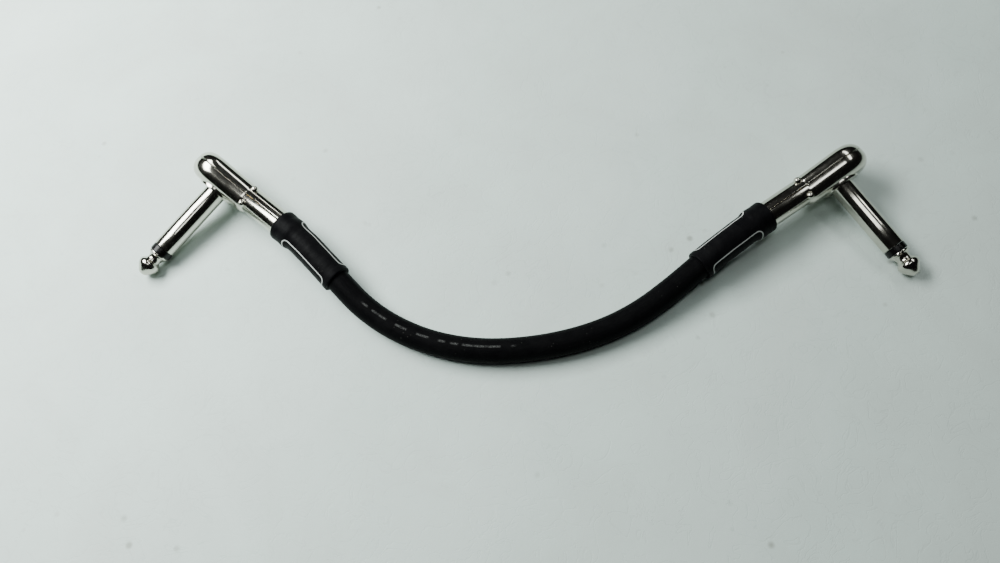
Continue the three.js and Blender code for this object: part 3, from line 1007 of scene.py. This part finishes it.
def head_section(front, seam, rolled):
    """One shell's outer section, from the seam plane with its rolled edge to the flat face."""
    sign = 1 if front else -1
    centre_y = (FRONT_FACE if front else COVER_FACE) - sign * HEAD_EDGE_RADIUS
    roll_y = sign * (seam - centre_y) + rolled
    roll_grow, tip = HEAD_EDGE_RADIUS - rolled, 0.0
    if roll_y > 0:
        roll_grow = math.sqrt(roll_grow ** 2 - roll_y ** 2)
        tip = math.degrees(math.atan2(roll_y, roll_grow))
    section = arc((roll_grow, roll_y), rolled, -90, tip, 6)
    section += arc((0.0, 0.0), HEAD_EDGE_RADIUS, tip, 90, 18)[1 if roll_y > 0 else 0:]
    return [(grow, centre_y + sign * y) for grow, y in section]


def neck_half(name, radius, seam, rolled, front):
    """Half of the neck's round bar, with rolled edges along the seam."""
    sign = 1 if front else -1
    low = sign * seam
    centre_y = low + rolled
    centre_z = math.sqrt((radius - rolled) ** 2 - centre_y ** 2)
    tip = math.degrees(math.atan2(centre_y, centre_z))
    half = arc((centre_z, centre_y), rolled, -90, tip, 6)
    half += arc((0.0, 0.0), radius, tip, 90, 22)[1:]
    section = half + [(-z, y) for z, y in reversed(half[:-1])]
    rings = [[(x, sign * y, z) for z, y in section] for x in (5.0, NECK_END - 0.15)]
    rings.append([(NECK_END, sign * (y - 0.15 * y / radius), z * (1 - 0.15 / radius)) for z, y in section])
    return lofted(name, rings)


def round_bump(name, place, radius):
    """A small dome pressed out of a shell."""
    x0, y0, z0 = place
    rings = []
    for i in range(1, 16):
        tilt = math.pi * i / 16
        rings.append([
            (x0 + radius * math.sin(tilt) * math.cos(2 * math.pi * j / 28),
             y0 + radius * math.cos(tilt),
             z0 + radius * math.sin(tilt) * math.sin(2 * math.pi * j / 28)) for j in range(28)])
    return lofted(name, rings)


def crimp_groove(x):
    """The round-edged cut that one jaw of the crimping tool leaves on the table side."""
    groove = turned("groove", CRIMP_OUTLINE, 24)
    around = Matrix.Rotation(CRIMP_AROUND, 4, "X")
    lean = Matrix.Rotation(CRIMP_LEAN, 4, "Y")
    place = Matrix.Translation(Vector((x, CRIMP_OUT, CRIMP_DOWN)) * MM)
    groove.data.transform(place @ around @ lean @ Matrix.Rotation(math.pi / 2, 4, "X"))
    return groove


class PressShells(bpy.types.Operator):
    """Presses the two shells of each plug's housing."""

    bl_idname = "patch_cable.press_shells"
    bl_label = "Press housing shells"

    def execute(self, context):
        sizes = context.scene.plug_sizes
        for side in ("left", "right"):
            for front in (True, False):
                shell = self.shell(side, front, sizes)
                node_name = "front_shell" if front else "cover_shell"
                on_plug(shell, side, mirrored=side == "left")
                smooth(shell)
                settle(shell, side, node_name, polished_nickel(False))
        return {"FINISHED"}

    def shell(self, side, front, sizes):
        wall, radius = sizes.wall / MM, sizes.neck_radius / MM
        rolled = sizes.seam_round / MM
        sign = 1 if front else -1
        seam = SEAM_AT + sign * sizes.seam_gap / MM / 2
        name = f"{side}_{'front' if front else 'cover'}_shell_fine"
        shell = head_block(name, head_section(front, seam, rolled))
        added = [neck_half("neck", radius, seam, rolled, front)]
        added += [round_bump("pip", place, PIP_RADIUS) for place in PIP_PLACES if (place[1] > 0) == front]
        if front:
            added.append(turned("seat", [
                (SEAT_RADIUS - 0.1, 1.0), (SEAT_RADIUS, 1.1), (SEAT_RADIUS, SEAT_FACE - 0.18),
                (SEAT_RADIUS - 0.05, SEAT_FACE - 0.07), (SEAT_RADIUS - 0.18, SEAT_FACE)], 72))
        combine(shell, added, "UNION")
        inner_edge = HEAD_EDGE_RADIUS - wall
        hollow = []
        for grow, y in arc((0.0, 0.0), inner_edge, 90, 0, 10):
            hollow.append((grow, FRONT_FACE - HEAD_EDGE_RADIUS + y))
        for grow, y in arc((0.0, 0.0), inner_edge, 0, -90, 10):
            hollow.append((grow, COVER_FACE + HEAD_EDGE_RADIUS + y))
        removed = [head_block("hollow", hollow), neck_bar("bore", NECK_BORE, 5.0, NECK_END + 1)]
        if front:
            hole = sizes.shank_radius / MM + 0.06
            removed.append(turned("hole", [
                (hole, 0.0), (hole, SEAT_FACE - 0.12), (hole + 0.14, SEAT_FACE + 0.02),
                (hole + 0.14, SEAT_FACE + 2)], 64))
            removed += [crimp_groove(x) for x in CRIMP_STATIONS]
        return combine(shell, removed, "DIFFERENCE")


class TurnShanks(bpy.types.Operator):
    """Turns each plug's shank barrel, insulating ring and tip."""

    bl_idname = "patch_cable.turn_shanks"
    bl_label = "Turn shanks and tips"

    def execute(self, context):
        radius = context.scene.plug_sizes.shank_radius / MM
        for side in ("left", "right"):
            barrel = turned(f"{side}_shank_barrel_fine", [
                (BARREL_BORE, BARREL_FOOT), (FLANGE_RADIUS - 0.1, BARREL_FOOT),
                (FLANGE_RADIUS, BARREL_FOOT + 0.1), (FLANGE_RADIUS, BARREL_FLANGE - 0.1),
                (FLANGE_RADIUS - 0.1, BARREL_FLANGE), (radius + 0.02, BARREL_FLANGE),
                (radius, BARREL_FLANGE + 0.05), (radius, 12.0), (radius, 20.0),
                (radius, BARREL_END - 0.16), (radius - 0.04, BARREL_END - 0.05),
                (radius - 0.14, BARREL_END), (BARREL_BORE, BARREL_END)], 96, ringed=True)
            ring = turned(f"{side}_tip_insulator_fine", [
                (RING_BORE, RING_START), (RING_RADIUS - 0.1, RING_START),
                (RING_RADIUS - 0.02, RING_START + 0.08), (RING_RADIUS, RING_START + 0.3),
                (RING_RADIUS, RING_END - 0.3), (RING_RADIUS - 0.02, RING_END - 0.08),
                (RING_RADIUS - 0.1, RING_END), (RING_BORE, RING_END)], 72, ringed=True)
            tip = turned(
                f"{side}_tip_fine",
                [(ROD_RADIUS, ROD_END), (ROD_RADIUS, TIP_BASE - 0.01),
                 *[(r, TIP_BASE + y) for r, y in TIP_OUTLINE]], 72)
            for made, node_name, slot_name, finish in (
                    (barrel, "shank_barrel", "nickel_plate", polished_nickel(True)),
                    (ring, "tip_insulator", "black_plastic", moulded_black()),
                    (tip, "tip", "nickel_plate", polished_nickel(True))):
                on_plug(made, side)
                smooth(made)
                settle(made, side, node_name, finish)
        return {"FINISHED"}


class FinishInnerParts(bpy.types.Operator):
    """Gives the parts inside each housing their finishes."""

    bl_idname = "patch_cable.finish_inner_parts"
    bl_label = "Finish inner parts"

    def execute(self, context):
        finishes = {
            "barrel_liner": white_plastic(), "rear_washer": moulded_black(),
            "tip_lug": stamped_brass(), "tip_solder": soft_solder(),
            "insulating_sheet": white_plastic(), "clamp_ring": stamped_brass(),
            "shield_pigtail": copper_strands(), "ground_solder": soft_solder()}
        for side in ("left", "right"):
            for part, finish in finishes.items():
                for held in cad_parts[f"{side}_{part}"].material_slots:
                    held.material = finish
        return {"FINISHED"}


class DeclareCord(bpy.types.Operator):
    """Gathers the right plug's pieces into a list, and does nothing more with them."""

    bl_idname = "patch_cable.declare_cord"
    bl_label = "Declare cable"

    def execute(self, context):
        fine = ["front_shell", "cover_shell", "shank_barrel", "tip_insulator", "tip", "sleeve"]
        inner = [
            "barrel_liner", "rear_washer", "tip_lug", "tip_solder", "insulating_sheet",
            "clamp_ring", "shield_pigtail", "ground_solder"]
        plug = [bpy.data.objects[f"right_{part}_fine"] for part in fine]
        plug += [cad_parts[f"right_{part}"] for part in inner]
        return {"FINISHED"}


class PatchCablePanel(bpy.types.Panel):
    """The sidebar panel with the sizes, the colours and the steps."""

    bl_idname = "VIEW3D_PT_patch_cable"
    bl_label = "Patch Cable"
    bl_space_type = "VIEW_3D"
    bl_region_type = "UI"
    bl_category = "Patch Cable"

    def draw(self, context):
        scene = context.scene
        for group in (scene.cable_sizes, scene.plug_sizes, scene.stage_settings):
            column = self.layout.column(align=True)
            for key in group.__annotations__:
                column.prop(group, key)
        for step in STEPS:
            self.layout.operator(step.bl_idname)


STEPS = (SetTable, LayCable, ShrinkSleeves, PressShells, TurnShanks, FinishInnerParts, DeclareCord)
CLASSES = (CableSizes, PlugSizes, StageSettings, *STEPS, PatchCablePanel)
GROUPS = {"cable_sizes": CableSizes, "plug_sizes": PlugSizes, "stage_settings": StageSettings}


def register():
    for made in CLASSES:
        bpy.utils.register_class(made)
    for name, kind in GROUPS.items():
        setattr(bpy.types.Scene, name, bpy.props.PointerProperty(type=kind))


def unregister():
    for name in GROUPS:
        delattr(bpy.types.Scene, name)
    for made in reversed(CLASSES):
        bpy.utils.unregister_class(made)


def main():
    register()
    bpy.ops.patch_cable.set_table()
    bpy.ops.patch_cable.lay_cable()
    bpy.ops.patch_cable.shrink_sleeves()
    bpy.ops.patch_cable.press_shells()
    bpy.ops.patch_cable.turn_shanks()
    bpy.ops.patch_cable.finish_inner_parts()
    bpy.ops.patch_cable.declare_cord()
    bpy.context.view_layer.update()


if __name__ == "__main__":
    main()
